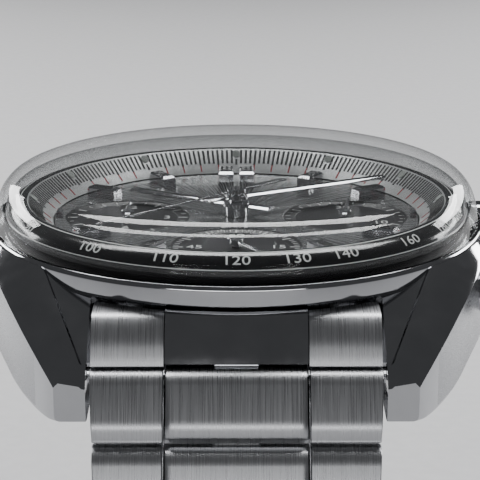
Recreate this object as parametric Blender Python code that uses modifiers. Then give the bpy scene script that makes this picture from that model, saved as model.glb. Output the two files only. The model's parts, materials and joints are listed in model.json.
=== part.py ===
"""Chronograph wristwatch: case, crystal, dial, hands, movement, bracelet and folding clasp.

The origin is the centre of the case back's outer face; +Z leaves through the dial, +Y points to
12 o'clock and +X to 3 o'clock, where the crown is. Sizes are written in millimetres, and MM makes
them metres.
"""
import math

import bmesh
import bpy
from mathutils import Matrix, Vector

MM = 0.001
ROUND = 48                 # sides of the large round parts, all in the same phase
SMALL = 16                 # sides of stems, pins and posts

# Case
CASE_R = 19.65             # outer radius of the rim between the lugs
BORE_R = 15.6              # movement bore
RIM_Z = 9.7
LEDGE_Z = 8.9              # seat of the flange ring
STEM_Z = 6.2               # height of the crown and pusher axes
PUSHER_Y = 9.6             # pushers sit this far either side of the crown
LUG_GAP = 10.35            # half the space between two lugs
LUG_START = 14.1           # distance from 3 o'clock at which the lugs leave the round case
LUG_END = 22.0
FLANK_ARC = 37.3           # radius of each side of the case in plan
SPRING_BAR = (18.95, 3.3)  # (distance from the centre, height)

# Dial and hands
DIAL_R = 14.5
DIAL_LOW, DIAL_TOP = 9.2, 9.6
SUBDIAL_AT = 8.7           # distance of each subdial's centre from the dial's centre
SUBDIAL_R = 5.0
SUBDIAL_DEPTH = 0.15
HAND_FOOT = 9.3            # lower end of every hand's tube or post

# Bracelet
PITCH = 5.2                # from one link hinge to the next
KNUCKLE_R = 1.45
SCOOP_R = KNUCKLE_R + 0.21  # hollow that the next knuckle turns in
CENTRE_HALF = 4.95         # half the width of the raised centre row
CENTRE_LIFT = 0.28         # how far the centre row stands above the sides
FIRST_HINGE = (21.4, 2.95)
ROW_TILT = (29, 20, 11, 2, -8, -18, -30, -45)   # outward lean of each row, in degrees
FIRST_SWING = math.radians(31)   # how far the first row lifts outward from rest
HEAD_HALF = 10.0           # half the bracelet's width at the lugs
CLASP_HALF = 8.0           # and at the clasp
EYE_HALF = 1.5             # half the width of the hinge eye inside each joint
EYE_R = 0.95               # outer radius of that eye, hidden inside the knuckle
PIN_R = 0.45

# Movement, in plan
BALANCE_AT = (6.4, -7.2)
BARREL_AT = (-6.6, 5.2)
FOURTH_AT = (0.0, -4.6)
ESCAPE_AT = (1.2, -8.9)
PALLET_AT = (3.0, -10.6)
COLUMN_AT = (4.6, 9.6)
ROTOR_R = 13.6
BEARING_R = 1.2

# Looks: colour, metallic, roughness, alpha
STEEL = ((0.62, 0.63, 0.65), 1.0, 0.3, 1.0)
BRASS = ((0.78, 0.62, 0.34), 1.0, 0.3, 1.0)
PLATE = ((0.55, 0.56, 0.58), 1.0, 0.35, 1.0)
BLACK = ((0.03, 0.03, 0.035), 0.0, 0.35, 1.0)
GLASS = ((0.85, 0.9, 0.92), 0.0, 0.03, 0.3)
SILVER = ((0.75, 0.76, 0.77), 0.6, 0.35, 1.0)
RUBBER = ((0.04, 0.04, 0.04), 0.0, 0.7, 1.0)

UP = Matrix.Identity(4)
TO_X = Matrix.Rotation(math.radians(90), 4, "Y")                  # carries +Z to +X
UPRIGHT = Matrix(((0, 0, 1, 0), (1, 0, 0, 0), (0, 1, 0, 0), (0, 0, 0, 1)))   # (x, y, z) to (z, x, y)


def new_collection(name):
    made = bpy.data.collections.new(name)
    bpy.context.scene.collection.children.link(made)
    return made


def clear_scene():
    for obj in list(bpy.data.objects):
        bpy.data.objects.remove(obj, do_unlink=True)


# ---------------------------------------------------------------- shapes

def material(name, look):
    colour, metallic, roughness, alpha = look
    made = bpy.data.materials.new(name)
    made.use_nodes = True
    shader = made.node_tree.nodes["Principled BSDF"]
    shader.inputs["Base Color"].default_value = (*colour, 1.0)
    shader.inputs["Metallic"].default_value = metallic
    shader.inputs["Roughness"].default_value = roughness
    shader.inputs["Alpha"].default_value = alpha
    made.diffuse_color = (*colour, alpha)
    return made


def shade(mesh):
    mesh.shade_smooth()
    mesh.set_sharp_from_angle(angle=math.radians(30))


def register(name, mesh, look, at, frame):
    """Places a mesh as a part, or as a cutter if it has no look."""
    shade(mesh)
    obj = bpy.data.objects.new(name, mesh)
    obj.matrix_world = Matrix.Translation(Vector(at) * MM) @ frame
    if look is None:
        cutters.objects.link(obj)
        obj.hide_render = True
        obj.display_type = "WIRE"
    else:
        parts.objects.link(obj)
        mesh.materials.append(material(name, look))
    return obj


def turned(name, profile, look=None, at=(0, 0, 0), sides=ROUND, frame=UP):
    """A solid turned about its own Z axis from a (radius, height) outline that runs up its outer
    side. An outline that starts and ends on the axis is open there; any other is a closed ring."""
    mesh = bpy.data.meshes.new(name)
    shape = bmesh.new()
    corners = [shape.verts.new((r * MM, 0, z * MM)) for r, z in reversed(profile)]
    pairs = list(zip(corners, corners[1:]))
    if profile[0][0] > 0:
        pairs.append((corners[-1], corners[0]))
    for pair in pairs:
        shape.edges.new(pair)
    shape.to_mesh(mesh)
    shape.free()
    obj = register(name, mesh, look, at, frame)
    turn = obj.modifiers.new("turn", "SCREW")
    turn.steps = turn.render_steps = sides
    turn.use_merge_vertices = True
    turn.merge_threshold = 1e-6
    turn.use_smooth_shade = True
    return obj


def ring(name, inner, outer, low, high, *placing, **more):
    return turned(name, [(inner, low), (outer, low), (outer, high), (inner, high)], *placing, **more)


def cylinder(name, radius, low, high, look=None, at=(0, 0, 0), sides=SMALL, frame=UP):
    mesh = bpy.data.meshes.new(name)
    shape = bmesh.new()
    bmesh.ops.create_cone(shape, cap_ends=True, segments=sides, radius1=radius * MM,
                          radius2=radius * MM, depth=(high - low) * MM)
    bmesh.ops.translate(shape, verts=shape.verts, vec=(0, 0, (low + high) / 2 * MM))
    shape.to_mesh(mesh)
    shape.free()
    return register(name, mesh, look, at, frame)


def flat(name, outline, low, high, look=None, at=(0, 0, 0), frame=UP):
    """A flat outline with a thickness, from low to high along its own Z axis."""
    curve = bpy.data.curves.new(name, "CURVE")
    curve.dimensions = "2D"
    curve.fill_mode = "BOTH"
    curve.extrude = (high - low) / 2 * MM
    line = curve.splines.new("POLY")
    line.points.add(len(outline) - 1)
    for point, (x, y) in zip(line.points, outline):
        point.co = (x * MM, y * MM, 0, 1)
    line.use_cyclic_u = True
    drawn = bpy.data.objects.new(name + "_outline", curve)
    cutters.objects.link(drawn)
    mesh = bpy.data.meshes.new_from_object(drawn.evaluated_get(bpy.context.evaluated_depsgraph_get()))
    bpy.data.objects.remove(drawn, do_unlink=True)
    shape = bmesh.new()
    shape.from_mesh(mesh)
    bmesh.ops.remove_doubles(shape, verts=shape.verts, dist=1e-7)
    bmesh.ops.translate(shape, verts=shape.verts, vec=(0, 0, (low + high) / 2 * MM))
    bmesh.ops.recalc_face_normals(shape, faces=shape.faces)
    shape.to_mesh(mesh)
    shape.free()
    return register(name, mesh, look, at, frame)


def loft(name, sections, look=None, origin=(0, 0, 0)):
    """A solid through closed sections that have equally many points."""
    mesh = bpy.data.meshes.new(name)
    shape = bmesh.new()
    rows = [[shape.verts.new((Vector(p) - Vector(origin)) * MM) for p in section] for section in sections]
    shape.faces.new(rows[0])
    shape.faces.new(rows[-1])
    for low, high in zip(rows, rows[1:]):
        for k in range(len(low)):
            after = (k + 1) % len(low)
            shape.faces.new((low[k], low[after], high[after], high[k]))
    bmesh.ops.recalc_face_normals(shape, faces=shape.faces)
    shape.to_mesh(mesh)
    shape.free()
    return register(name, mesh, look, origin, UP)


def add(obj, other):
    boolean(obj, other, "UNION")


def cut(obj, other):
    boolean(obj, other, "DIFFERENCE")


def boolean(obj, other, operation):
    step = obj.modifiers.new(other.name, "BOOLEAN")
    step.object = other
    step.operation = operation
    step.solver = "EXACT"


def arc(centre, radius, start, end, steps):
    """Points of an arc between two angles in degrees."""
    angles = [math.radians(start + (end - start) * k / steps) for k in range(steps + 1)]
    return [(centre[0] + radius * math.cos(a), centre[1] + radius * math.sin(a)) for a in angles]


def toothed(radius, root, teeth):
    """The outline of a wheel with pointed teeth."""
    angles = [math.pi * k / teeth for k in range(2 * teeth)]
    sizes = [radius if k % 2 else root for k in range(2 * teeth)]
    return [(r * math.cos(a), r * math.sin(a)) for a, r in zip(angles, sizes)]


# ---------------------------------------------------------------- case

# (distance from 3 o'clock, underside, flank's top edge)
FLANK = ((0, 2.5, 8.9), (5, 2.5, 8.9), (9.5, 2.5, 8.75), (12, 2.45, 8.4), (LUG_START, 2.1, 7.85),
         (16.4, 1.4, 6.95), (19, 0.85, 5.55), (21, 0.64, 4.2), (LUG_END, 0.8, 3.4))


def flank_section(y, under, top, side):
    """A section of the case's flank and lug at distance y from 3 o'clock: its outer side is a long
    arc in plan, its top face falls to the lug's tip, and a facet leads down to the inner wall."""
    reach = abs(y)
    out = math.sqrt(FLANK_ARC ** 2 - y * y) - FLANK_ARC + 19.7
    if reach < LUG_START:
        inner, crest, crest_z, facet = math.sqrt(17.2 ** 2 - y * y), math.sqrt(19.6 ** 2 - y * y), 9.45, 8.8
    else:
        run = min((reach - LUG_START) / 6.9, 1.0)
        inner, crest = LUG_GAP, 13.75 - 3.05 * run
        crest_z = 9.3 - 4.6 * run if reach < LUG_END else 3.35
        facet = 9.0 - 0.628 * (reach - LUG_START)
    facet = min(facet, crest_z - 0.06)
    outline = [(inner, under), (out - 0.35, under), (out, under + 0.35), (out, top - 0.1),
               (out - 0.35, top + 0.2), (crest + 0.02, crest_z), (inner, facet)]
    return [(side * x, y, z) for x, z in outline]


def case_middle():
    outline = [(BORE_R, 1.3), (17.2, 1.3), (17.35, 2.2), (17.6, 5.6), (18.4, 7.2), (19.5, 8.1),
               (CASE_R, 8.3), (CASE_R, 9.45), (19.5, RIM_Z), (BORE_R, RIM_Z)]
    case = turned("case_middle", outline, STEEL)
    stations = [(-y, under, top) for y, under, top in FLANK[:0:-1]] + list(FLANK)
    for side in (1, -1):
        add(case, loft(f"flank_{side}", [flank_section(*station, side) for station in stations]))
    cavity = [(0, -1), (16.6, -1), (16.6, 1.8), (BORE_R, 1.8), (BORE_R, LEDGE_Z), (18.4, LEDGE_Z),
              (18.4, 8.75), (19.38, 8.75), (19.38, 14), (0, 14)]
    cut(case, turned("case_cavity", cavity))
    cut(case, cylinder("crown_tube_hole", 1.36, 14, 22, at=(0, 0, STEM_Z), sides=24, frame=TO_X))
    for y in (-PUSHER_Y, PUSHER_Y):
        hole = [(0, 11), (0.92, 11), (0.92, 15.65), (1.46, 15.65), (1.46, 22), (0, 22)]
        cut(case, turned(f"pusher_hole_{y}", hole, None, (0, y, STEM_Z), 24, TO_X))
    for end in (-1, 1):
        at = (0, end * SPRING_BAR[0], SPRING_BAR[1])
        cut(case, cylinder(f"lug_holes_{end}", 0.5, -12.2, 12.2, at=at, sides=12, frame=TO_X))


def case_parts():
    case_middle()
    turned("case_back", [(12.5, 0), (15.7, 0), (16.8, 0.5), (16.8, 1.15), (15.4, 1.15), (15.4, 2.4),
                         (11.7, 2.4), (11.7, 1.75), (12.5, 1.75)], STEEL)
    turned("case_back_glass", [(0, 0), (12.2, 0), (12.4, 0.2), (12.4, 1.65), (0, 1.65)], GLASS)
    ring("case_back_gasket", 15.5, 16.5, 1.22, 1.7, RUBBER)
    dome_outside = [(19.28, 9.15), (19.28, 9.6), (19.05, 11.0), (18.6, 12.3), (17.8, 13.2), (16.6, 13.72),
                    (14.5, 13.98), (11, 14.2), (6, 14.38), (0, 14.45)]
    dome_inside = [(0, 13.4), (11, 13.25), (16.4, 12.85), (17.5, 12.4), (18.15, 11.5), (18.42, 10.4),
                   (18.5, 9.15)]
    turned("crystal", dome_inside + dome_outside, GLASS)
    ring("crystal_gasket", 18.5, 19.28, 8.82, 9.08, RUBBER)
    turned("tachymeter_flange", [(14.95, 9.0), (18.3, 9.0), (18.3, 10.4), (18.05, 10.9), (17.6, 11.26),
                                 (17.0, 11.5), (16.6, 11.42), (16.0, 11.1), (15.2, 10.4), (14.6, 9.68),
                                 (14.6, 9.5), (14.95, 9.2)], BLACK)
    ring("crown_tube", 0.75, 1.3, 15.9, 19.95, STEEL, (0, 0, STEM_Z), 24, TO_X)


def subdials():
    """Centres of the minute counter at 3, small seconds at 6 and hour counter at 9."""
    return ((SUBDIAL_AT, 0.0), (0.0, -SUBDIAL_AT), (-SUBDIAL_AT, 0.0))


def dial():
    face = cylinder("dial", DIAL_R, DIAL_LOW, DIAL_TOP, SILVER, sides=ROUND)
    cut(face, cylinder("centre_hole", 0.95, 8, 11))
    for number, (x, y) in enumerate(subdials()):
        cut(face, cylinder(f"recess_{number}", SUBDIAL_R, DIAL_TOP - SUBDIAL_DEPTH, 11, at=(x, y, 0), sides=36))
        cut(face, cylinder(f"post_hole_{number}", 0.32, 8, 11, at=(x, y, 0), sides=12))


# ---------------------------------------------------------------- hands

def hand(name, outline, low, high, boss, hole, turn, at=(0, 0)):
    """A flat hand that points along +Y before it is turned clockwise by turn degrees. It has a boss
    and a tube down into the dial, or a solid post if hole is 0."""
    place = (*at, 0)
    frame = Matrix.Rotation(-math.radians(turn), 4, "Z")
    obj = flat(name, outline, low, high, STEEL, place, frame)
    add(obj, cylinder(f"{name}_boss", boss, low - 0.02, high + 0.1, at=place))
    add(obj, cylinder(f"{name}_tube", hole + 0.22, HAND_FOOT, high - 0.02, at=place))
    if hole:
        cut(obj, cylinder(f"{name}_bore", hole, HAND_FOOT - 1, high + 1, at=place))


def baton(length, width, tail, tip):
    side = [(width / 2, -tail), (width / 2, length - tip), (width * 0.3, length)]
    return side + [(-x, y) for x, y in reversed(side)]


def hands():
    hand("hour_hand", baton(10.0, 1.15, 3.2, 0.35), 10.5, 10.72, 1.05, 0.62, 300)
    hand("minute_hand", baton(14.2, 0.95, 2.8, 0.35), 11.1, 11.32, 0.9, 0.3, 61)
    side = [(0.35, -5.5), (0.3, -2.0), (0.14, -1.0), (0.09, 14.6)]
    needle = side + [(-x, y) for x, y in reversed(side)]
    hand("chrono_seconds_hand", needle, 11.62, 11.78, 0.75, 0.0, 225)
    counters = (("minute_counter_hand", 7.5), ("small_seconds_hand", 150), ("hour_counter_hand", 0))
    for (name, turn), at in zip(counters, subdials()):
        hand(name, baton(4.1, 0.42, 1.1, 0.2), 9.85, 10.0, 0.5, 0.0, turn, at)


# ---------------------------------------------------------------- crown and pushers

def crown_set():
    at = (0, 0, STEM_Z)
    crown = flat("crown", toothed(3.15, 2.9, 30), 20.3, 23.0, STEEL, at, TO_X)
    collar = [(0, 20.05), (2.5, 20.05), (2.7, 20.35), (2.7, 22.9), (2.4, 23.3), (0, 23.4)]
    add(crown, turned("crown_collar", collar, at=at, sides=30, frame=TO_X))
    cut(crown, cylinder("crown_bore", 0.68, 19, 22.1, at=at, frame=TO_X))
    stem = [(0, 9.4), (0.6, 9.4), (0.6, 11.0), (0.35, 11.05), (0.35, 11.6), (0.6, 11.65), (0.6, 22.0),
            (0, 22.0)]
    turned("winding_stem", stem, STEEL, at, SMALL, TO_X)
    fork = [(-1.5, 5.2), (-0.45, 5.2), (-0.45, 6.7), (0.45, 6.7), (0.45, 5.2), (1.5, 5.2), (1.5, 7.08),
            (-1.5, 7.08)]
    flat("setting_lever", fork, 11.15, 11.5, PLATE, frame=UPRIGHT)
    button = [(0, 13.8), (0.82, 13.8), (0.82, 21.3), (1.55, 21.3), (1.55, 19.95), (2.05, 19.95),
              (2.15, 20.05), (2.15, 22.6), (1.9, 22.9), (0, 22.95)]
    for name, y in (("start", PUSHER_Y), ("reset", -PUSHER_Y)):
        at = (0, y, STEM_Z)
        turned(f"pusher_{name}", button, STEEL, at, 24, TO_X)
        ring(f"pusher_tube_{name}", 0.92, 1.4, 15.7, 20.3, STEEL, at, 24, TO_X)


# ---------------------------------------------------------------- movement

def sector(radius, start, end, steps, hub=0.0):
    """A slice of a disc in plan; hub cuts its corner off at the centre."""
    corner = arc((0, 0), hub, end, start, 4) if hub else [(0.0, 0.0)]
    return arc((0, 0), radius, start, end, steps) + corner


def wheel(name, at, radius, teeth, low, high, look, arbor=0.5):
    """A toothed wheel on its own arbor."""
    place = (*at, 0)
    obj = flat(name, toothed(radius, radius * 0.93, teeth), low, high, look, place)
    add(obj, cylinder(f"{name}_arbor", arbor, low - 0.15, high + 0.15, at=place, sides=12))


def movement():
    cylinder("mainplate", 14.2, 7.2, 9.1, PLATE, sides=ROUND)
    holder = ring("movement_holder", 14.3, 15.5, 4.6, 8.8, PLATE)
    cut(holder, cylinder("holder_stem_hole", 0.8, 13, 17, at=(0, 0, STEM_Z), frame=TO_X))
    flat("train_bridge", sector(14.0, -8, 188, 22), 4.5, 5.0, PLATE)
    flat("balance_cock", sector(14.0, 278, 336, 8, 3.0), 4.5, 5.0, PLATE)
    wheel("mainspring_barrel", BARREL_AT, 5.0, 36, 5.3, 6.9, BRASS, 0.9)
    wheel("fourth_wheel", FOURTH_AT, 3.2, 30, 5.6, 5.85, BRASS)
    wheel("escape_wheel", ESCAPE_AT, 1.55, 15, 6.3, 6.5, STEEL, 0.3)
    wheel("column_wheel", COLUMN_AT, 1.6, 6, 5.6, 6.8, STEEL, 0.4)
    half = [(0.25, -1.1), (0.3, 0.1), (1.1, 0.35), (1.1, 0.6)]
    fork = half + [(-x, y) for x, y in reversed(half)]
    flat("pallet_fork", fork, 6.6, 6.8, STEEL, (*PALLET_AT, 0), Matrix.Rotation(math.radians(-45), 4, "Z"))
    balance()
    turned("rotor_bearing", [(0, 2.75), (BEARING_R, 2.75), (BEARING_R, 4.1), (0.9, 4.15), (0.9, 4.42),
                             (0, 4.42)], STEEL, sides=24)
    rotor()


def balance():
    at = (*BALANCE_AT, 0)
    rim = ring("balance_wheel", 3.15, 3.6, 5.4, 5.9, BRASS, at, 32)
    arm = [(-3.3, -0.25), (3.3, -0.25), (3.3, 0.25), (-3.3, 0.25)]
    add(rim, flat("balance_arm", arm, 5.5, 5.75, at=at))
    add(rim, cylinder("balance_staff", 0.4, 5.2, 6.9, at=at, sides=12))


def rotor():
    """The half-disc winding weight, thick at its rim, on a ring that turns round the bearing."""
    weight = flat("rotor", sector(ROTOR_R, 200, 340, 18, 2.2), 2.95, 3.35, PLATE)
    rim = arc((0, 0), ROTOR_R, 200, 340, 18) + arc((0, 0), ROTOR_R - 2, 340, 200, 18)
    add(weight, flat("rotor_rim", rim, 3.0, 4.2))
    add(weight, cylinder("rotor_hub", 2.6, 2.9, 3.5, sides=24))
    cut(weight, cylinder("rotor_bore", BEARING_R + 0.1, 2, 5, sides=24))


# ---------------------------------------------------------------- bracelet

def hinges():
    """(y, z) and direction of the eight rows, head end first, and the clasp hinge after them."""
    rows, (y, z) = [], FIRST_HINGE
    for tilt in ROW_TILT:
        lean = math.radians(tilt)
        rows.append(((y, z), (math.sin(lean), -math.cos(lean))))
        y, z = y + PITCH * math.sin(lean), z - PITCH * math.cos(lean)
    return rows, (y, z)


def half_width(row):
    """Half the bracelet's width at the head end of a row, counted from 0."""
    return HEAD_HALF + (CLASP_HALF - HEAD_HALF) * row / len(ROW_TILT)


def row_frame(along, side):
    """Carries a row's own (u, w, x) to the watch: u runs to the next hinge, w points away from the
    wrist and x across. side is 1 at 12 o'clock and -1 at 6 o'clock."""
    dy, dz = along
    return Matrix(((0, 0, side, 0), (side * dy, -side * dz, 0, 0), (dz, dy, 0, 0), (0, 0, 0, 1)))


def spot(start, side):
    return (0, side * start[0], start[1])


def row_outline(lift):
    """A row's section: a knuckle round its own hinge and a scoop round the next one."""
    r = KNUCKLE_R
    knuckle = arc((0, 0), r, 270, 90, 6)
    if lift:
        knuckle = knuckle[:4] + [(u - 0.1, w + lift * 0.8) for u, w in knuckle[4:6]] + [(0.15, r + lift)]
    scoop = arc((PITCH, 0), SCOOP_R, 146, 214, 3)
    far = [(PITCH - r - 0.95, r + lift), (PITCH - r - 0.2, r - 0.35 + lift)]
    inner = [(PITCH - r - 0.5, -r + 0.12), (PITCH - r - 0.9, -r)]
    return knuckle + far + scoop + inner


def add_pocket_and_pin(obj, start, along, side, width):
    """Cuts the pocket for the neighbour's hinge eye in a knuckle and puts the pin through it."""
    name, half, place = obj.name, EYE_HALF + 0.12, spot(start, side)
    frame = row_frame(along, side)
    deep = EYE_R + 0.13
    box = [(-2.2, -deep), (deep, -deep), (deep, deep), (-2.2, deep)]
    cut(obj, flat(f"{name}_pocket", box, -half, half, None, place, frame))
    add(obj, cylinder(f"{name}_pin", PIN_R, 1 - width, width - 1, None, place, 8, frame))


def add_eye(obj, start, along, side, reach=2.1):
    """Adds the hinge eye that a row or end link puts round the next hinge."""
    name, place = obj.name, spot(start, side)
    frame = row_frame(along, side)
    outline = [(u + PITCH, w) for u, w in arc((0, 0), EYE_R, 144, -144, 8)]
    outline += [(PITCH - reach, -0.55), (PITCH - reach, 0.55)]
    add(obj, flat(f"{name}_eye", outline, -EYE_HALF, EYE_HALF, None, place, frame))
    hole = [(PITCH + u, w) for u, w in arc((0, 0), PIN_R + 0.13, 0, 315, 7)]
    cut(obj, flat(f"{name}_eye_hole", hole, -4, 4, None, place, frame))


def bracelet_row(side, label, index, start, along):
    near, far = half_width(index), half_width(index + 1)
    low, high = row_outline(0.0), row_outline(CENTRE_LIFT)
    edge, step = CENTRE_HALF, CENTRE_HALF + 0.12
    tapered = [(near + (far - near) * u / PITCH, u, w) for u, w in low]
    sections = [[(-x, u, w) for x, u, w in tapered], [(-step, u, w) for u, w in low],
                [(-edge, u, w) for u, w in high], [(edge, u, w) for u, w in high],
                [(step, u, w) for u, w in low], tapered]
    place, frame = Vector(spot(start, side)), row_frame(along, side)
    sections = [[place + frame @ Vector((u, w, x)) for x, u, w in section] for section in sections]
    row = loft(f"link_{label}_{index + 1}", sections, STEEL, place)
    add_pocket_and_pin(row, start, along, side, near)
    if (side, index) != (1, len(ROW_TILT) - 1):
        add_eye(row, start, along, side)


def end_link(side, label):
    """The piece between two lugs: hollowed to sit against the case, hinged to the first row."""
    (y0, z0), along = hinges()[0][0]
    top = [(16.8, 7.75), (18.9, 7.75), (19.9, 7.3), (20.7, 6.35), (21.15, 5.35), (21.4, 4.6)]
    rest = arc((y0, z0), SCOOP_R, 90, 200, 4) + [(19.4, 1.7), (18.2, 1.5), (16.8, 1.6)]
    edge, step = CENTRE_HALF, CENTRE_HALF + 0.12
    sections = []
    for x, lift in ((-HEAD_HALF, 0), (-step, 0), (-edge, CENTRE_LIFT), (edge, CENTRE_LIFT), (step, 0),
                    (HEAD_HALF, 0)):
        raised = [(y + lift * 0.6, z + lift * 0.8) for y, z in top]
        # The hollow's roof rises too, so that the row's raised centre turns under it.
        roof = [(y, z + lift) for y, z in rest[:2]]
        sections.append([(x, side * y, z) for y, z in raised + roof + rest[2:]])
    bar_at = spot(SPRING_BAR, side)
    obj = loft(f"end_link_{label}", sections, STEEL, bar_at)
    around = [(0, -1), (17.75, -1), (17.75, 5.6), (18.55, 7.1), (19.62, 7.98), (19.85, 8.3), (19.85, 12),
              (0, 12)]
    cut(obj, turned(f"end_link_{label}_seat", around))
    lean = math.atan2(along[0], -along[1]) + FIRST_SWING / 2
    neck = (math.sin(lean), -math.cos(lean))
    add_eye(obj, (y0 - PITCH * neck[0], z0 - PITCH * neck[1]), neck, side, 2.0)
    cut(obj, cylinder(f"end_link_{label}_bar_hole", 0.68, -12, 12, None, bar_at, 12, TO_X))
    bar = [(0, -11.4), (0.38, -11.4), (0.38, -10.25), (0.6, -10.2), (0.6, 10.2), (0.38, 10.25), (0.38, 11.4),
           (0, 11.4)]
    turned(f"spring_bar_{label}", bar, STEEL, bar_at, 12, TO_X)


# ---------------------------------------------------------------- clasp

def clasp_arc(radius, start, end, steps):
    """(y, z) points below the wrist; angles are from straight down, positive towards 12 o'clock."""
    return [(y, z) for y, z in arc((0, 0), radius, start - 90, end - 90, steps)]


def clasp_spot(radius, angle):
    return clasp_arc(radius, angle, angle, 1)[0]


def bent_plate(name, low, high, start, end, steps, x0, x1, look=None, at=(0, 0)):
    """A plate bent to the clasp's curve, x0 to x1 across, with its origin at (y, z)."""
    outline = clasp_arc(low, start, end, steps) + clasp_arc(high, end, start, steps)
    outline = [(y - at[0], z - at[1]) for y, z in outline]
    return flat(name, outline, x0, x1, look, (0, *at), UPRIGHT)


def barrel(name, at, radius, half):
    return cylinder(name, radius, -half, half, None, (0, *at), 12, TO_X)


def clasp():
    end = hinges()[1]
    reach = math.degrees(math.atan2(end[0], -end[1]))
    radius = math.hypot(*end)
    cover_at, inner_end = (-end[0], end[1]), end
    cover = bent_plate("clasp_cover", radius + 0.3, radius + 1.4, -reach + 1.2, reach - 4.3, 10, -CLASP_HALF,
                       CLASP_HALF, STEEL, cover_at)
    for side, x in ((9, -CLASP_HALF), (3, CLASP_HALF - 0.8)):
        add(cover, bent_plate(f"cover_wall_{side}", radius - 1.3, radius + 0.4, -reach + 4.0, reach - 4.3, 10,
                              x, x + 0.8))
    inward = (-math.cos(math.radians(reach)), -math.sin(math.radians(reach)))
    knuckle = arc((0, 0), KNUCKLE_R, 270, 90, 6) + [(2.6, KNUCKLE_R - 0.1), (2.6, 0.35), (1.6, -0.6)]
    add(cover, flat("cover_knuckle", knuckle, -CLASP_HALF, CLASP_HALF, None, spot(end, -1),
                    row_frame(inward, -1)))
    add_pocket_and_pin(cover, end, inward, -1, CLASP_HALF)
    button_at = (0, *clasp_spot(radius - 0.45, 3))
    cut(cover, cylinder("button_holes", 0.95, -10, 10, None, button_at, SMALL, TO_X))
    button = [(0, 6.9), (0.8, 6.9), (0.8, 8.2), (0.65, 8.5), (0, 8.5)]
    for side, frame in ((3, TO_X), (9, TO_X.inverted())):
        turned(f"clasp_button_{side}", button, STEEL, button_at, SMALL, frame)
    blades(radius, reach, inner_end)


def blades(radius, reach, inner_end):
    """Two curved leaves folded under the cover, joined at their 6 o'clock end."""
    first = clasp_spot(radius - 0.3, reach - 4.8)
    second = clasp_spot(radius - 0.85, -reach + 9.0)
    outer = bent_plate("clasp_blade_outer", radius - 0.7, radius + 0.1, -reach + 11.0, reach - 5.2, 8, -5.6,
                       5.6, STEEL, first)
    add(outer, barrel("outer_barrel", first, 0.5, 6.9))
    for x in (-5.6, 3.8):
        add(outer, bent_plate(f"outer_arm_{x}", radius - 1.2, radius + 0.1, -reach + 8.6, -reach + 11.4, 3, x,
                              x + 1.8))
    inner = bent_plate("clasp_blade_inner", radius - 1.6, radius - 0.85, -reach + 9.2, reach - 0.4, 9, -3.5,
                       3.5, STEEL, second)
    add(inner, barrel("inner_barrel", second, 0.55, 3.55))
    add(inner, barrel("inner_knuckle", inner_end, 1.25, CLASP_HALF - 0.4))


def bracelet():
    rows, _ = hinges()
    for side, label in ((1, "12"), (-1, "6")):
        end_link(side, label)
        for index, (start, along) in enumerate(rows):
            bracelet_row(side, label, index, start, along)
    clasp()


clear_scene()
parts = new_collection("chronograph_wristwatch")
cutters = new_collection("cutters")
case_parts()
dial()
hands()
crown_set()
movement()
bracelet()
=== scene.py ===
"""Looks of the chronograph wristwatch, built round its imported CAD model.

Sizes here are millimetres until a mesh is made, which is in metres. As in the frame, +Z leaves
through the dial, +Y points to 12 o'clock and +X to 3 o'clock, where the crown is.
"""
import json
import math

import bmesh
import bpy
from mathutils import Matrix, Vector

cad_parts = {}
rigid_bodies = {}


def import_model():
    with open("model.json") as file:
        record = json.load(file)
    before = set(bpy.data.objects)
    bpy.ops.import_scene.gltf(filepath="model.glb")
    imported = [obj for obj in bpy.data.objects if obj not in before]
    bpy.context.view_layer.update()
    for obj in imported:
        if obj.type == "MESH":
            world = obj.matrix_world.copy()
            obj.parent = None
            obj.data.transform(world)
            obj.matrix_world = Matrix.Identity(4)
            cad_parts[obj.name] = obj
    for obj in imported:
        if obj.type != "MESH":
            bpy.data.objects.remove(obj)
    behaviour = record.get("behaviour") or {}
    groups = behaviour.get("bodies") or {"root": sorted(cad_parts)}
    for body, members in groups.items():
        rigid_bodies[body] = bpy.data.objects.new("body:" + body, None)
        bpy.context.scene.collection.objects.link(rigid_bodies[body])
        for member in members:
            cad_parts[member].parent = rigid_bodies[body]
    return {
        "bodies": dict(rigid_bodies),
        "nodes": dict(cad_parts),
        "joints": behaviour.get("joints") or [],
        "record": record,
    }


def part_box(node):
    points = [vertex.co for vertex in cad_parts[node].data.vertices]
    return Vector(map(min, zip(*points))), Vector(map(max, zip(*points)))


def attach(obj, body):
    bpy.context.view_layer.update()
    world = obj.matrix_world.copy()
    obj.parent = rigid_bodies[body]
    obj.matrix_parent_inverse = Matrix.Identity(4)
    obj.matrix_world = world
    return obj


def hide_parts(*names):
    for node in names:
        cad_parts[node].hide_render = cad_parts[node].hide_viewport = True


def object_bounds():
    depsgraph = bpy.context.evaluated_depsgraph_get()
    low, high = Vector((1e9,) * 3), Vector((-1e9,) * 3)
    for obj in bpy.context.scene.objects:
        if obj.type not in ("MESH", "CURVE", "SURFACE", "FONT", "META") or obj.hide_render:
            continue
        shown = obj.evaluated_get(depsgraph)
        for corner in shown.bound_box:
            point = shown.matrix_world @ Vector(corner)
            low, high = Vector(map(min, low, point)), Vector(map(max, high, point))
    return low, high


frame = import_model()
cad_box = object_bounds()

MM = 0.001
FINE = 192                 # sides of large turned pieces
PLAIN = 64                 # sides of small turned pieces


# ---- places read from the frame

def extent(node):
    low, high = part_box(node)
    return Vector(low) / MM, Vector(high) / MM


def middle(node):
    low, high = extent(node)
    return (low + high) / 2


JOINTS = {joint["name"]: joint for joint in frame["joints"]}


def pivot(joint):
    """A hinge's place in millimetres."""
    return Vector(JOINTS[joint]["pos_m"]) / MM


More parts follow.
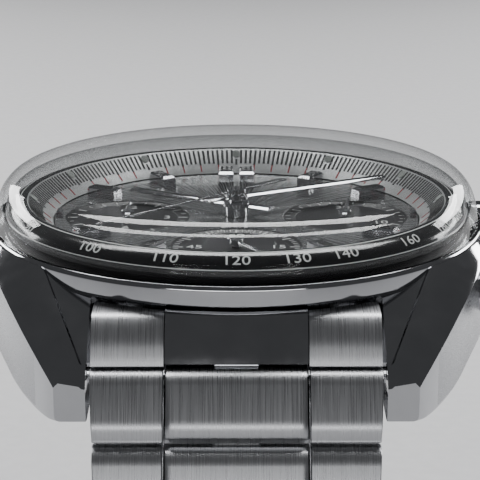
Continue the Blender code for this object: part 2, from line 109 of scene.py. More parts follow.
# A turned node's radius is its box's half width.
DIAL_R, DIAL_TOP = extent("dial")[1].x, extent("dial")[1].z
MINUTE_COUNTER = pivot("chrono_minutes").to_2d()
SMALL_SECONDS = pivot("small_seconds").to_2d()
HOUR_COUNTER = pivot("chrono_hours").to_2d()
STEM_Z = pivot("crown_turn").z
PUSHER_Y = middle("pusher_start").y
HEAD_HALF = extent("end_link_6")[1].x          # half the bracelet's width at the lugs
CLASP_HALF = extent("clasp_cover")[1].x        # and at the clasp
PITCH = (pivot("row_6_2") - pivot("row_6_1")).length
CLASP_END = pivot("clasp_cover_hinge")
CLASP_R = CLASP_END.yz.length
REACH = math.degrees(math.atan2(-CLASP_END.y, -CLASP_END.z))

# Shape values that the frame doesn't give
LUG_GAP = 10.35            # half the space between two lugs
LUG_START = 14.1           # distance from 3 o'clock at which the lugs leave the round case
FLANK_ARC = 37.3           # radius of each side of the case in plan
FLANK_SHIFT = 17.6         # how far that arc's centre is past the watch's
FLANK_INNER_R = 17.2       # inner face of the flanks between the lugs
CREST_R = 19.6             # where the flanks' slope meets the rim
BORE_R = 15.6              # movement bore
SUBDIAL_R = 5.0
FIGURES_AT = 3.15          # distance of a subdial's figures from its centre
PRINT_DEPTH = 0.02         # thickness of printed figures
RECESS = 0.15              # depth of a subdial
CENTRE_HALF = 4.95         # half the width of the bracelet's raised centre
CENTRE_LIFT = 0.28
KNUCKLE_R = 1.45
SCOOP_R = 1.66
ROWS = 8
FLANGE_TOP = (16.6, 11.42)     # (radius, height) of the flange's inner slope, top and foot
FLANGE_FOOT = (14.6, 9.68)

UP = Matrix.Identity(4)
TO_X = Matrix.Rotation(math.radians(90), 4, "Y")      # carries +Z to +X


# ---- finishes

class Finish:
    """A Principled material, with short ways to drive it by noise in the piece's own space."""

    def __init__(self, name, colour, metallic=0.0, roughness=0.4, **inputs):
        self.material = bpy.data.materials.new(name)
        self.material.use_nodes = True
        self.tree = self.material.node_tree
        self.shader = self.tree.nodes["Principled BSDF"]
        self.shader.inputs["Base Color"].default_value = (*colour, 1.0)
        self.shader.inputs["Metallic"].default_value = metallic
        self.shader.inputs["Roughness"].default_value = roughness
        for socket, value in inputs.items():
            self.shader.inputs[socket.replace("_", " ")].default_value = value
        self.material.diffuse_color = (*colour, 1.0)

    def add(self, kind, **values):
        node = self.tree.nodes.new(kind)
        for key, value in values.items():
            setattr(node, key, value)
        return node

    def link(self, output, socket):
        self.tree.links.new(output, socket)

    def maths(self, operation, *terms):
        node = self.add("ShaderNodeMath", operation=operation)
        for socket, term in zip(node.inputs, terms):
            if isinstance(term, (int, float)):
                socket.default_value = term
            else:
                self.link(term, socket)
        return node.outputs[0]

    def place(self, scale):
        """Object coordinates in millimetres, stretched by scale."""
        point = self.add("ShaderNodeTexCoord").outputs["Object"]
        mapping = self.add("ShaderNodeMapping")
        mapping.inputs["Scale"].default_value = [s / MM for s in scale]
        self.link(point, mapping.inputs["Vector"])
        return mapping.outputs[0]

    def polar(self):
        """(radius, angle) about the watch's axis, in millimetres and radians."""
        parts = self.add("ShaderNodeSeparateXYZ")
        self.link(self.place((1, 1, 1)), parts.inputs[0])
        x, y = parts.outputs[0], parts.outputs[1]
        squares = self.maths("ADD", self.maths("MULTIPLY", x, x), self.maths("MULTIPLY", y, y))
        return self.maths("SQRT", squares), self.maths("ARCTAN2", y, x)

    def noise(self, point, detail=3.0):
        texture = self.add("ShaderNodeTexNoise")
        texture.inputs["Scale"].default_value = 1.0
        texture.inputs["Detail"].default_value = detail
        self.link(point, texture.inputs["Vector"])
        return texture.outputs["Fac"]

    def noise_along(self, value, scale):
        texture = self.add("ShaderNodeTexNoise", noise_dimensions="1D")
        texture.inputs["Scale"].default_value = scale
        texture.inputs["Detail"].default_value = 4.0
        self.link(value, texture.inputs["W"])
        return texture.outputs["Fac"]

    def spread(self, factor, low, high):
        node = self.add("ShaderNodeMapRange")
        node.inputs["From Min"].default_value = 0.3
        node.inputs["From Max"].default_value = 0.7
        node.inputs["To Min"].default_value = low
        node.inputs["To Max"].default_value = high
        self.link(factor, node.inputs["Value"])
        return node.outputs[0]

    def roughen(self, factor, low, high):
        self.link(self.spread(factor, low, high), self.shader.inputs["Roughness"])

    def mixed(self, factor, first, second):
        mix = self.add("ShaderNodeMix", data_type="RGBA")
        mix.inputs["A"].default_value = (*first, 1.0)
        mix.inputs["B"].default_value = (*second, 1.0)
        self.link(factor, mix.inputs["Factor"])
        return mix.outputs["Result"]

    def facing(self, blend):
        """0 where a face meets the eye, 1 where it is edge on."""
        weight = self.add("ShaderNodeLayerWeight")
        weight.inputs["Blend"].default_value = blend
        return weight.outputs["Facing"]

    def tint(self, factor, dark, light):
        self.link(self.mixed(self.spread(factor, 0.0, 1.0), dark, light), self.shader.inputs["Base Color"])

    def relief(self, height, strength, depth=0.02):
        bump = self.add("ShaderNodeBump")
        bump.inputs["Strength"].default_value = strength
        bump.inputs["Distance"].default_value = depth * MM
        self.link(height, bump.inputs["Height"])
        self.link(bump.outputs[0], self.shader.inputs["Normal"])

    def wear(self, factor, colour, shades, rough, strength, depth=0.02):
        """Varies colour, roughness and relief together."""
        self.tint(factor, shade(colour, shades[0]), shade(colour, shades[1]))
        self.roughen(factor, *rough)
        self.relief(factor, strength, depth)

    def comb(self, axis):
        """Draws highlights out across lines that run round an axis."""
        tangent = self.add("ShaderNodeTangent", direction_type="RADIAL", axis=axis)
        self.link(tangent.outputs[0], self.shader.inputs["Tangent"])


def shade(colour, factor):
    return tuple(min(channel * factor, 1.0) for channel in colour)


def brushed(name, colour, stretch, rough=(0.24, 0.36)):
    """Metal with fine lines that run where stretch is small."""
    finish = Finish(name, colour, 1.0, Anisotropic=0.55)
    finish.comb("X")
    finish.wear(finish.noise(finish.place(stretch), 5.0), colour, (0.86, 1.06), rough, 0.12)
    return finish.material


def polished(name, colour, rough=(0.05, 0.11)):
    """Mirror-bright metal with hairlines and faint smears."""
    finish = Finish(name, colour, 1.0)
    smears = finish.noise(finish.place((0.5, 0.5, 0.5)), 6.0)
    finish.tint(smears, shade(colour, 0.95), shade(colour, 1.03))
    finish.roughen(smears, *rough)
    finish.relief(finish.noise(finish.place((14, 3, 9)), 2.0), 0.02, 0.01)
    return finish.material


def turned_metal(name, colour):
    """Metal with fine rings about a vertical axis."""
    finish = Finish(name, colour, 1.0, Anisotropic=0.5)
    radius, _ = finish.polar()
    finish.wear(finish.noise_along(radius, 14.0), colour, (0.85, 1.08), (0.2, 0.32), 0.25)
    return finish.material


def sunray(name, colour):
    """A dial's silver, brushed in lines that all run out from the centre."""
    finish = Finish(name, colour, 0.9, Anisotropic=0.6)
    finish.comb("Z")
    _, angle = finish.polar()
    finish.wear(finish.noise_along(angle, 130.0), colour, (0.9, 1.06), (0.2, 0.3), 0.2)
    return finish.material


def striped(name, colour):
    """Plate with broad polished waves across it, as on a finished movement."""
    finish = Finish(name, colour, 1.0)
    parts = finish.add("ShaderNodeSeparateXYZ")
    finish.link(finish.place((1, 1, 1)), parts.inputs[0])
    slant = finish.maths("ADD", parts.outputs[0], finish.maths("MULTIPLY", parts.outputs[1], 0.25))
    wave = finish.maths("PINGPONG", slant, 0.95)
    grain = finish.noise_along(slant, 22.0)
    finish.tint(grain, shade(colour, 0.88), shade(colour, 1.08))
    finish.roughen(grain, 0.2, 0.32)
    finish.relief(finish.maths("ADD", wave, finish.maths("MULTIPLY", grain, 0.12)), 0.6, 0.12)
    return finish.material


def pearled(name, colour):
    """Plate covered in small overlapping ground circles."""
    finish = Finish(name, colour, 1.0)
    cells = finish.add("ShaderNodeTexVoronoi")
    cells.inputs["Scale"].default_value = 1.1
    finish.link(finish.place((1, 1, 0.01)), cells.inputs["Vector"])
    rings = finish.maths("SINE", finish.maths("MULTIPLY", cells.outputs["Distance"], 46.0))
    finish.wear(rings, colour, (0.85, 1.05), (0.24, 0.38), 0.25)
    return finish.material


def coated(name, colour, rough=(0.25, 0.4), grain=(30, 30, 30), strength=0.1, **inputs):
    """Lacquer, paint, rubber or stone: a colour with a fine grain."""
    finish = Finish(name, colour, 0.0, **inputs)
    finish.wear(finish.noise(finish.place(grain), 4.0), colour, (0.82, 1.15), rough, strength, 0.01)
    return finish.material


def clear(name, tint, sheen):
    """Coated sapphire: clear, with a weak reflection and faint smudges; its see-through colour turns dark
    grey edge on, which is painted shade.
    """
    finish = Finish(name, tint, 0.0, 0.02)
    finish.tree.nodes.remove(finish.shader)
    # Painted shade: the see-through colour is mixed towards dark grey as the glass turns edge on, in place
    # of the dark rims that the real crystal shows; depth here is that painted shade, not the glass's
    # thickness.
    depth = finish.maths("POWER", finish.facing(0.5), 6.0)
    through = finish.add("ShaderNodeBsdfTransparent")
    finish.link(finish.mixed(depth, tint, (0.22, 0.225, 0.23)), through.inputs["Color"])
    gloss = finish.add("ShaderNodeBsdfGlossy")
    smudge = finish.noise(finish.place((0.25, 0.25, 0.25)), 3.0)
    finish.link(finish.spread(smudge, 0.01, 0.04), gloss.inputs["Roughness"])
    mix = finish.add("ShaderNodeMixShader")
    for output, socket in zip((finish.facing(sheen), through.outputs[0], gloss.outputs[0]), mix.inputs):
        finish.link(output, socket)
    finish.link(mix.outputs[0], finish.tree.nodes["Material Output"].inputs["Surface"])
    return finish.material


STEEL = (0.43, 0.435, 0.45)
FLANK_STEEL = brushed("flank_brushed", STEEL, (7, 0.10, 16))
LINK_STEEL = brushed("link_brushed", STEEL, (26, 0.2, 0.2))
BRIGHT_STEEL = polished("steel_polished", STEEL)
BACK_STEEL = turned_metal("back_brushed", STEEL)
SATIN_STEEL = brushed("steel_satin", STEEL, (0.4, 9, 9), (0.28, 0.4))
SAPPHIRE = clear("sapphire", (0.985, 0.99, 0.99), 0.08)
BACK_SAPPHIRE = clear("sapphire_back", (0.95, 0.96, 0.96), 0.06)
SILVER = sunray("dial_silver", (0.30, 0.305, 0.31))
TRACK_SILVER = coated("track_silver", (0.55, 0.56, 0.56), (0.3, 0.42), Metallic=0.5)
BLACK_LACQUER = coated("black_lacquer", (0.012, 0.012, 0.013), (0.12, 0.2), Coat_Weight=0.4)
BLACK_DIAL = coated("black_subdial", (0.016, 0.016, 0.018), (0.3, 0.42))
BLACK_PRINT = coated("black_print", (0.015, 0.015, 0.015), (0.35, 0.5))
WHITE_PRINT = coated("white_print", (0.78, 0.79, 0.78), (0.35, 0.5))
RED_PRINT = coated("red_print", (0.45, 0.02, 0.03), (0.35, 0.5))
LUME = coated("lume", (0.42, 0.45, 0.42), (0.6, 0.75), (55, 55, 55), 0.3)
RHODIUM = polished("hand_rhodium", (0.70, 0.70, 0.72), (0.04, 0.1))
PLATE = striped("bridge_stripes", (0.62, 0.62, 0.63))
PEARL = pearled("mainplate_pearled", (0.58, 0.58, 0.59))
GILT = polished("gilt_brass", (0.80, 0.60, 0.30), (0.14, 0.24))
GILT_TURNED = turned_metal("gilt_turned", (0.80, 0.60, 0.30))
BLUED = polished("blued_steel", (0.03, 0.06, 0.32), (0.1, 0.2))
RUBY = coated("ruby", (0.45, 0.01, 0.06), (0.04, 0.1), Coat_Weight=0.6)
RUBBER = coated("gasket_rubber", (0.02, 0.02, 0.02), (0.55, 0.7), strength=0.3)
ROTOR_STEEL = turned_metal("rotor_turned", (0.55, 0.55, 0.57))
LINK_FINISHES = [LINK_STEEL, BRIGHT_STEEL]


# ---- mesh helpers

def add_object(name, data):
    obj = bpy.data.objects.new(name, data)
    bpy.context.scene.collection.objects.link(obj)
    return obj


def as_mesh(name, shape):
    """Turns a bmesh in millimetres into a smooth mesh in metres."""
    bmesh.ops.scale(shape, vec=(MM, MM, MM), verts=shape.verts)
    mesh = bpy.data.meshes.new(name)
    shape.to_mesh(mesh)
    shape.free()
    mesh.shade_smooth()
    return mesh


def evaluated_mesh(obj):
    graph = bpy.context.evaluated_depsgraph_get()
    return bpy.data.meshes.new_from_object(obj.evaluated_get(graph))


def piece(name, shape, body, finishes, paint=None, sharp=32, stands_for=()):
    """Makes a piece from a bmesh in millimetres. paint(centre, normal) picks a face's finish."""
    bmesh.ops.remove_doubles(shape, verts=shape.verts, dist=1e-4)
    bmesh.ops.recalc_face_normals(shape, faces=shape.faces)
    if paint:
        for face in shape.faces:
            face.material_index = paint(face.calc_center_median(), face.normal)
    mesh = as_mesh(name, shape)
    if sharp:
        mesh.set_sharp_from_angle(angle=math.radians(sharp))
    for finish in finishes:
        mesh.materials.append(finish)
    obj = add_object(name, mesh)
    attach(obj, body)
    if stands_for:
        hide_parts(*stands_for)
    return obj


def soften(obj, width, segments=3, angle=30):
    """Rounds an object's edges."""
    bevel = obj.modifiers.new("edges", "BEVEL")
    bevel.width = width * MM
    bevel.segments = segments
    bevel.limit_method = "ANGLE"
    bevel.angle_limit = math.radians(angle)
    bevel.harden_normals = True
    bevel.use_clamp_overlap = True


def carve(obj, shape, operation="DIFFERENCE"):
    """Cuts a bmesh in millimetres out of an object, or joins it on, and keeps the result."""
    bmesh.ops.recalc_face_normals(shape, faces=shape.faces)
    tool = add_object("tool", as_mesh("tool", shape))
    step = obj.modifiers.new("cut", "BOOLEAN")
    step.object = tool
    step.operation = operation
    step.solver = "EXACT"
    result = evaluated_mesh(obj)
    obj.modifiers.remove(step)
    old, obj.data = obj.data, result
    bpy.data.meshes.remove(old)
    bpy.data.objects.remove(tool, do_unlink=True)
    obj.data.set_sharp_from_angle(angle=math.radians(32))


def skin(shape, rows, closed_ends=True):
    """Faces between rows of points; a row of one point is a tip."""
    made = [[shape.verts.new(p) for p in row] for row in rows]
    for low, high in zip(made, made[1:]):
        for k in range(max(len(low), len(high))):
            ring = [low[k % len(low)], low[(k + 1) % len(low)], high[(k + 1) % len(high)],
                    high[k % len(high)]]
            corners = list(dict.fromkeys(ring))
            if len(corners) > 2:
                shape.faces.new(corners)
    if closed_ends:
        for row in (made[0], made[-1]):
            if len(row) > 2:
                shape.faces.new(row)
    else:
        for k in range(len(made[0])):
            after = (k + 1) % len(made[0])
            shape.faces.new((made[-1][k], made[-1][after], made[0][after], made[0][k]))
    return shape


def loft(*sections, shape=None):
    return skin(shape or bmesh.new(), sections)


def turned(profile, steps=FINE, at=(0, 0, 0), frame=UP, shape=None):
    """A solid turned about +Z. A profile that starts and ends on the axis is full, any other is a
    closed ring."""
    shape = shape or bmesh.new()
    full = profile[0][0] == 0
    move = Matrix.Translation(Vector(at)) @ frame
    rows = []
    for radius, height in profile:
        count = steps if radius > 0 else 1
        angles = [2 * math.pi * k / steps for k in range(count)]
        rows.append([move @ Vector((radius * math.cos(a), radius * math.sin(a), height)) for a in angles])
    return skin(shape, rows, full)


def tube(inner, outer, low, high, steps=FINE, at=(0, 0, 0), frame=UP, shape=None):
    """A plain tube about +Z, or a rod if its inner radius is 0."""
    return turned([(inner, low), (outer, low), (outer, high), (inner, high)], steps, at, frame, shape)


def prism(outline, low, high, at=(0, 0, 0), frame=UP, shape=None):
    """A flat outline with a thickness."""
    move = Matrix.Translation(Vector(at)) @ frame
    return loft(*[[move @ Vector((x, y, z)) for x, y in outline] for z in (low, high)], shape=shape)


def arc(centre, radius, start, end, steps):
    angles = [math.radians(start + (end - start) * k / steps) for k in range(steps + 1)]
    return [(centre[0] + radius * math.cos(a), centre[1] + radius * math.sin(a)) for a in angles]


def eased(outline, reach, steps=3, closed=False):
    """Rounds an outline's corners, up to reach along each side of a corner."""
    result = []
    for k, point in enumerate(outline):
        if not closed and k in (0, len(outline) - 1):
            result.append(point)
            continue
        here = Vector(point)
        before, after = Vector(outline[k - 1]) - here, Vector(outline[(k + 1) % len(outline)]) - here
        start = here + before.normalized() * min(reach, before.length * 0.45)
        end = here + after.normalized() * min(reach, after.length * 0.45)
        for step in range(steps + 1):
            t = step / steps
            result.append(tuple(start * (1 - t) ** 2 + here * 2 * t * (1 - t) + end * t * t))
    return result


def curve_through(points, steps=4):
    """A smooth line through points, any number of values each."""
    points = [Vector(p) for p in points]
    line = []
    for k in range(len(points) - 1):
        p0, p1 = points[max(k - 1, 0)], points[k]
        p2, p3 = points[k + 1], points[min(k + 2, len(points) - 1)]
        for step in range(steps):
            t = step / steps
            line.append(tuple(0.5 * (2 * p1 + (p2 - p0) * t + (2 * p0 - 5 * p1 + 4 * p2 - p3) * t * t
                                     + (3 * p1 - p0 - 3 * p2 + p3) * t ** 3)))
    return line + [tuple(points[-1])]


def spun(turn):
    """A turn clockwise as seen on the dial, in degrees."""
    return Matrix.Rotation(-math.radians(turn), 4, "Z")


def mirrored(side):
    """An outline from its right-hand side."""
    return side + [(-x, y) for x, y in reversed(side)]


def bright_sides(centre, normal):
    """Paints the second finish on faces that look along X."""
    return 1 if abs(normal.x) > 0.7 else 0


def finish_node(node, finish, bevel=0.0):
    """Gives a CAD node that stays in view its finish and fine edges."""
    obj = frame["nodes"][node]
    obj.data.materials.clear()
    obj.data.materials.append(finish)
    if bevel:
        soften(obj, bevel, 2, 40)


# ---- case

# (distance from 3 o'clock, underside, flank's top edge)
FLANK = ((0, 2.5, 8.9), (5, 2.5, 8.9), (9.5, 2.5, 8.75), (12, 2.45, 8.4), (14.1, 2.1, 7.85),
         (16.4, 1.4, 6.95), (19, 0.85, 5.55), (21, 0.64, 4.2), (22, 0.8, 3.4))


def flank_x(y):
    """How far out a flank stands at a distance y from 3 o'clock."""
    return math.sqrt(FLANK_ARC ** 2 - y * y) - FLANK_SHIFT


def flank_section(y, under, top, side):
    """A slice of the flank: underside, brushed wall, polished bevel, top face and inner facet."""
    reach = abs(y)
    out = flank_x(y)
    if reach < LUG_START - 0.01:
        inner, crest = math.sqrt(FLANK_INNER_R ** 2 - y * y), math.sqrt(CREST_R ** 2 - y * y)
        crest_z, facet = 9.45, 8.8
    else:
        run = min((reach - LUG_START) / 6.9, 1.0)
        inner, crest = LUG_GAP, 13.75 - 3.05 * run
        crest_z = 9.3 - 4.6 * run
        facet = 9.0 - 0.628 * (reach - LUG_START)
    crest_z = crest_z - max(reach - 21, 0) * 1.35
    facet = min(facet, crest_z - 0.06)
    points = [(inner, under), (out - 0.35, under), (out - 0.1, under + 0.1), (out, under + 0.35),
              (out, top - 0.12), (out - 0.32, top + 0.2), (crest + 0.09, crest_z),
              (crest - 0.09, crest_z - 0.17), (inner, min(facet, crest_z - 0.22))]
    return [(side * x, y, z) for x, z in points]


def case_holes():
    """The bores for the crown's tube, the pushers and the spring bars."""
    shape = tube(0, 1.36, 14, 22, PLAIN, (0, 0, STEM_Z), TO_X)
    for y in (-PUSHER_Y, PUSHER_Y):
        turned([(0, 11), (0.92, 11), (0.92, 15.65), (1.46, 15.65), (1.46, 22), (0, 22)], PLAIN,
               (0, y, STEM_Z), TO_X, shape)
    for end in ("6", "12"):
        tube(0, 0.5, -12.2, 12.2, 24, middle(f"spring_bar_{end}"), TO_X, shape)
    return shape


def case():
    halves = curve_through(FLANK, 6)
    stations = [(-y, under, top) for y, under, top in halves[:0:-1]] + halves
    for side, label in ((1, "3"), (-1, "9")):
        def paint(centre, normal, side=side):
            outermost = side * centre.x > flank_x(centre.y) - 0.06
            return 0 if outermost and abs(normal.x) > 0.85 else 1
        shape = loft(*[flank_section(*station, side) for station in stations])
        flank = piece(f"case_flank_{label}", shape, "case", [FLANK_STEEL, BRIGHT_STEEL],
                      paint, 20)
        carve(flank, case_holes())
    ring = [(BORE_R, 1.3), (17.2, 1.3), (17.35, 2.2), (17.6, 5.6), (18.4, 7.2), (19.4, 8.05), (19.65, 8.3),
            (19.65, 9.45), (19.5, 9.7), (19.38, 9.7), (19.38, 8.75), (18.4, 8.75), (18.4, 8.9),
            (BORE_R, 8.9)]
    shape = turned(eased(ring, 0.12, closed=True))
    rim = piece("case_ring", shape, "case", [BRIGHT_STEEL], stands_for=("case_middle",))
    carve(rim, case_holes())
    back = [(12.5, 0), (15.7, 0), (16.8, 0.5), (16.8, 1.15), (15.4, 1.15), (15.4, 2.4), (11.7, 2.4),
            (11.7, 1.75), (12.5, 1.75)]
    piece("case_back_ring", turned(eased(back, 0.1, closed=True)), "case",
          [BACK_STEEL, BRIGHT_STEEL], lambda c, n: 0 if n.z < -0.95 else 1, stands_for=("case_back",))
    window = [(0, 0.02), (12.2, 0.02), (12.4, 0.2), (12.4, 1.65), (0, 1.65)]
    piece("back_window", turned(window), "case", [BACK_SAPPHIRE],
          stands_for=("case_back_glass",))
    finish_node("case_back_gasket", RUBBER)
    finish_node("crystal_gasket", RUBBER)


def crystal():
    outside = [(19.28, 9.15), (19.28, 9.6), (19.05, 11.0), (18.6, 12.3), (17.8, 13.2), (16.6, 13.72),
               (14.5, 13.98), (11, 14.2), (6, 14.38), (0, 14.45)]
    inside = [(0, 13.4), (11, 13.25), (16.4, 12.85), (17.5, 12.4), (18.15, 11.5), (18.42, 10.4),
              (18.5, 9.15)]
    profile = inside[:1] + eased(inside, 1.4, 4)[1:] + eased(outside, 1.4, 4)
    piece("crystal_dome", turned(profile), "case", [SAPPHIRE], stands_for=("crystal",))


# ---- flange and dial

def around(turn, radius, height, shift=0.0):
    """A point on the dial side: turn is clockwise from 12 o'clock, and shift is to the right of it
    as seen from the centre."""
    a = math.radians(turn)
    return Vector((radius * math.sin(a) + shift * math.cos(a), radius * math.cos(a) - shift * math.sin(a),
                   height))


def slope_point(turn, run, shift, lift):
    """A point on the flange's inner slope: run goes from 0 at its top to 1 at its foot."""
    (r0, z0), (r1, z1) = FLANGE_TOP, FLANGE_FOOT
    length = math.hypot(r1 - r0, z1 - z0)
    out = ((z1 - z0) / length, -(r1 - r0) / length)
    return around(turn, r0 + (r1 - r0) * run + out[0] * lift, z0 + (z1 - z0) * run + out[1] * lift, shift)


def slope_mark(shape, turn, start, end, width):
    rows = []
    for height in (-0.03, 0.03):
        rows.append([slope_point(turn, run, side * width / 2, height)
                     for run, side in ((start, -1), (start, 1), (end, 1), (end, -1))])
    loft(*rows, shape=shape)


def minute_track():
    """240 strokes on the inner slope, four to the second, with red tips at the seconds and a
    luminous dot at each fifth one."""
    black, red, dots = bmesh.new(), bmesh.new(), bmesh.new()
    for k in range(240):
        turn = 1.5 * k
        if k % 20:
            slope_mark(black, turn, 0.05, 0.66 if k % 4 == 0 else 0.6, 0.19)
            if k % 4 == 0:
                slope_mark(red, turn, 0.66, 0.92, 0.12)
        else:
            ring = [2 * math.pi * j / 20 for j in range(20)]
            loft(*[[slope_point(turn, 0.2 + 0.135 * math.sin(a), 0.36 * math.cos(a), lift) for a in ring]
                   for lift in (-0.03, 0.07)], shape=dots)
            slope_mark(black, turn, 0.42, 0.66, 0.19)
    piece("minute_strokes", black, "case", [BLACK_PRINT])
    piece("second_tips", red, "case", [RED_PRINT])
    piece("track_dots", dots, "case", [LUME])


OUTER_SLOPE = curve_through([(17.1, 11.47), (17.55, 11.27), (18.0, 10.92), (18.25, 10.45)], 6)


def outer_slope(run):
    """(radius, height) and outward direction on the flange's outer slope, run from 0 to 1."""
    along = run * (len(OUTER_SLOPE) - 1)
    k = min(int(along), len(OUTER_SLOPE) - 2)
    a, b = Vector(OUTER_SLOPE[k]), Vector(OUTER_SLOPE[k + 1])
    step = (b - a).normalized()
    return a + (b - a) * (along - k), Vector((-step.y, step.x))


def add_figures(shape, text, size, carry):
    """Adds a text to a bmesh: made flat and centred, then each point is put where carry says."""
    curve = bpy.data.curves.new("figures", "FONT")
    curve.body = text
    curve.size = size
    curve.align_x = "CENTER"
    curve.align_y = "CENTER"
    curve.extrude = PRINT_DEPTH / 2
    curve.resolution_u = 3
    holder = add_object("figures", curve)
    mesh = evaluated_mesh(holder)
    bpy.data.objects.remove(holder, do_unlink=True)
    flat = bmesh.new()
    flat.from_mesh(mesh)
    for k in range(-3, 4):
        everything = flat.verts[:] + flat.edges[:] + flat.faces[:]
        bmesh.ops.bisect_plane(flat, geom=everything, plane_co=(0, k * size / 8, 0), plane_no=(0, 1, 0))
    for vertex in flat.verts:
        vertex.co = carry(vertex.co)
    flat.to_mesh(mesh)
    flat.free()
    shape.from_mesh(mesh)
    bpy.data.meshes.remove(mesh)


def tachymeter():
    """Speeds on the flange's outer slope: 3600 divided by the second each one stands at."""
    shape, strokes = bmesh.new(), bmesh.new()
    middle, height, stretch = 0.53, 1.05, 1.3
    for speed in (65, 70, 75, 80, 90, 100, 110, 120, 130, 140, 160, 180, 200, 240, 300, 400):
        turn = 360 * (3600 / speed) / 60
        side = -1 if 90 < turn < 270 else 1    # figures below the middle are turned to read upright

        def carry(point, turn=turn, side=side):
            place, out = outer_slope(middle + side * point.y / height * 0.62)
            place = place + out * (point.z + 0.02)
            return around(turn + math.degrees(side * point.x * stretch / place.x), place.x, place.y)
        add_figures(shape, str(speed), height, carry)
    for run in (0.04, 0.97):
        place, out = outer_slope(run)
        tangent = Vector((-out.y, out.x))
        corners = [place + tangent * t + out * h
                   for t, h in ((-0.035, -0.03), (0.035, -0.03), (0.035, 0.02), (-0.035, 0.02))]
        turned([tuple(c) for c in corners], shape=strokes)
    piece("tachymeter_figures", shape, "case", [WHITE_PRINT])
    piece("tachymeter_lines", strokes, "case", [WHITE_PRINT])


def flange():
    inner_slope = [(16.85, 11.5), FLANGE_TOP, FLANGE_FOOT, (14.6, 9.62), (14.95, 9.2)]
    profile = [(14.95, 9.0), (18.3, 9.0), (18.3, 10.4)] + OUTER_SLOPE[::-1] + inner_slope
    piece("flange", turned(profile), "case", [BLACK_LACQUER, TRACK_SILVER],
          lambda c, n: 1 if c.to_2d().length < 16.72 and n.z > 0.3 else 0, 40,
          stands_for=("tachymeter_flange",))
    minute_track()
    tachymeter()


def bar_outline(width, inner, outer):
    return [(-width / 2, inner), (width / 2, inner), (width / 2, outer), (-width / 2, outer)]


def marker(shape, inlay, turn, width, inner, outer, shift=0.0, top=10.45):
    """An applied hour marker: bevelled bar, sloped bright inner end, black top."""
    move = spun(turn) @ Matrix.Translation((shift, 0, 0))
    half, chamfer = width / 2, 0.13
    foot, shoulder = bar_outline(width, inner, outer), bar_outline(width, inner + 0.08, outer)
    crest = [(-half + chamfer, inner + 0.42), (half - chamfer, inner + 0.42),
             (half - chamfer, outer - chamfer), (-half + chamfer, outer - chamfer)]
    levels = ((foot, DIAL_TOP - 0.05), (shoulder, top - 0.16), (crest, top))
    loft(*[[move @ Vector((x, y, z)) for x, y in ring] for ring, z in levels], shape=shape)
    lid = [(x * 0.9, y) for x, y in crest]
    lid = [(x, y + (0.05 if y < inner + 1 else -0.05)) for x, y in lid]
    prism(lid, top - 0.02, top + 0.015, frame=move, shape=inlay)


def markers():
    shape, inlay = bmesh.new(), bmesh.new()
    for hour in range(12):
        if hour == 0:
            marker(shape, inlay, 0, 1.3, 11.4, 14.1, -0.9)
            marker(shape, inlay, 0, 1.3, 11.4, 14.1, 0.9)
        elif hour % 3:
            marker(shape, inlay, 30 * hour, 1.15, 11.4, 14.1)
        else:
            marker(shape, inlay, 30 * hour, 0.9, 13.85, 14.4, top=10.2)
    piece("hour_markers", shape, "case", [RHODIUM], sharp=20)
    piece("marker_inlays", inlay, "case", [BLACK_LACQUER])


def subdial(name, centre, divisions, long_every, labels):
    """A black recessed counter with turned rings, a scale and its figures."""
    floor = DIAL_TOP - RECESS
    grooves = []
    radius = 0.55
    while radius < SUBDIAL_R - 1.05:
        grooves += [(radius, floor), (radius + 0.07, floor - 0.012)]
        radius += 0.14
    border = [(SUBDIAL_R - 1.0, floor + 0.02), (SUBDIAL_R - 0.12, floor + 0.02),
              (SUBDIAL_R - 0.02, floor + 0.12), (SUBDIAL_R - 0.02, floor - 0.03)]
    profile = [(0.36, floor - 0.03), (0.36, floor)] + grooves + border
    at = (*centre, 0)
    piece(f"{name}_disc", turned(profile, 128, at), "case", [BLACK_DIAL], sharp=60)
    marks = bmesh.new()
    for k in range(divisions):
        long = k % long_every == 0
        bar = bar_outline(0.13 if long else 0.07, SUBDIAL_R - (0.95 if long else 0.62), SUBDIAL_R - 0.22)
        prism(bar, floor + 0.015, floor + 0.045, at, spun(360 * k / divisions), marks)
    for turn, label in labels:
        spot = around(turn, FIGURES_AT, floor + 0.03) + Vector((*centre, 0))
        add_figures(marks, label, 1.25, lambda point, spot=spot: point + spot)
    piece(f"{name}_scale", marks, "case", [WHITE_PRINT])


def dial():
    disc = tube(0.95, DIAL_R, DIAL_TOP - 0.4, DIAL_TOP)
    base = piece("dial_plate", disc, "case", [SILVER], stands_for=("dial",))
    for centre in (MINUTE_COUNTER, SMALL_SECONDS, HOUR_COUNTER):
        carve(base, tube(0, SUBDIAL_R, 9.43, 11, 128, (*centre, 0)))
        carve(base, tube(0, 0.34, 9, 9.5, 32, (*centre, 0)))
    ring = tube(13.3, 13.36, DIAL_TOP - 0.01, DIAL_TOP + 0.012)
    subdial("minute_counter", MINUTE_COUNTER, 30, 5, ((120, "10"), (240, "20"), (0, "30")))
    subdial("small_seconds", SMALL_SECONDS, 60, 5, ((90, "15"), (180, "30"), (270, "45"), (0, "60")))
    subdial("hour_counter", HOUR_COUNTER, 24, 2, ((90, "3"), (180, "6"), (270, "9"), (0, "12")))
    markers()
    piece("dial_circle", ring, "case", [BLACK_PRINT])


# ---- hands

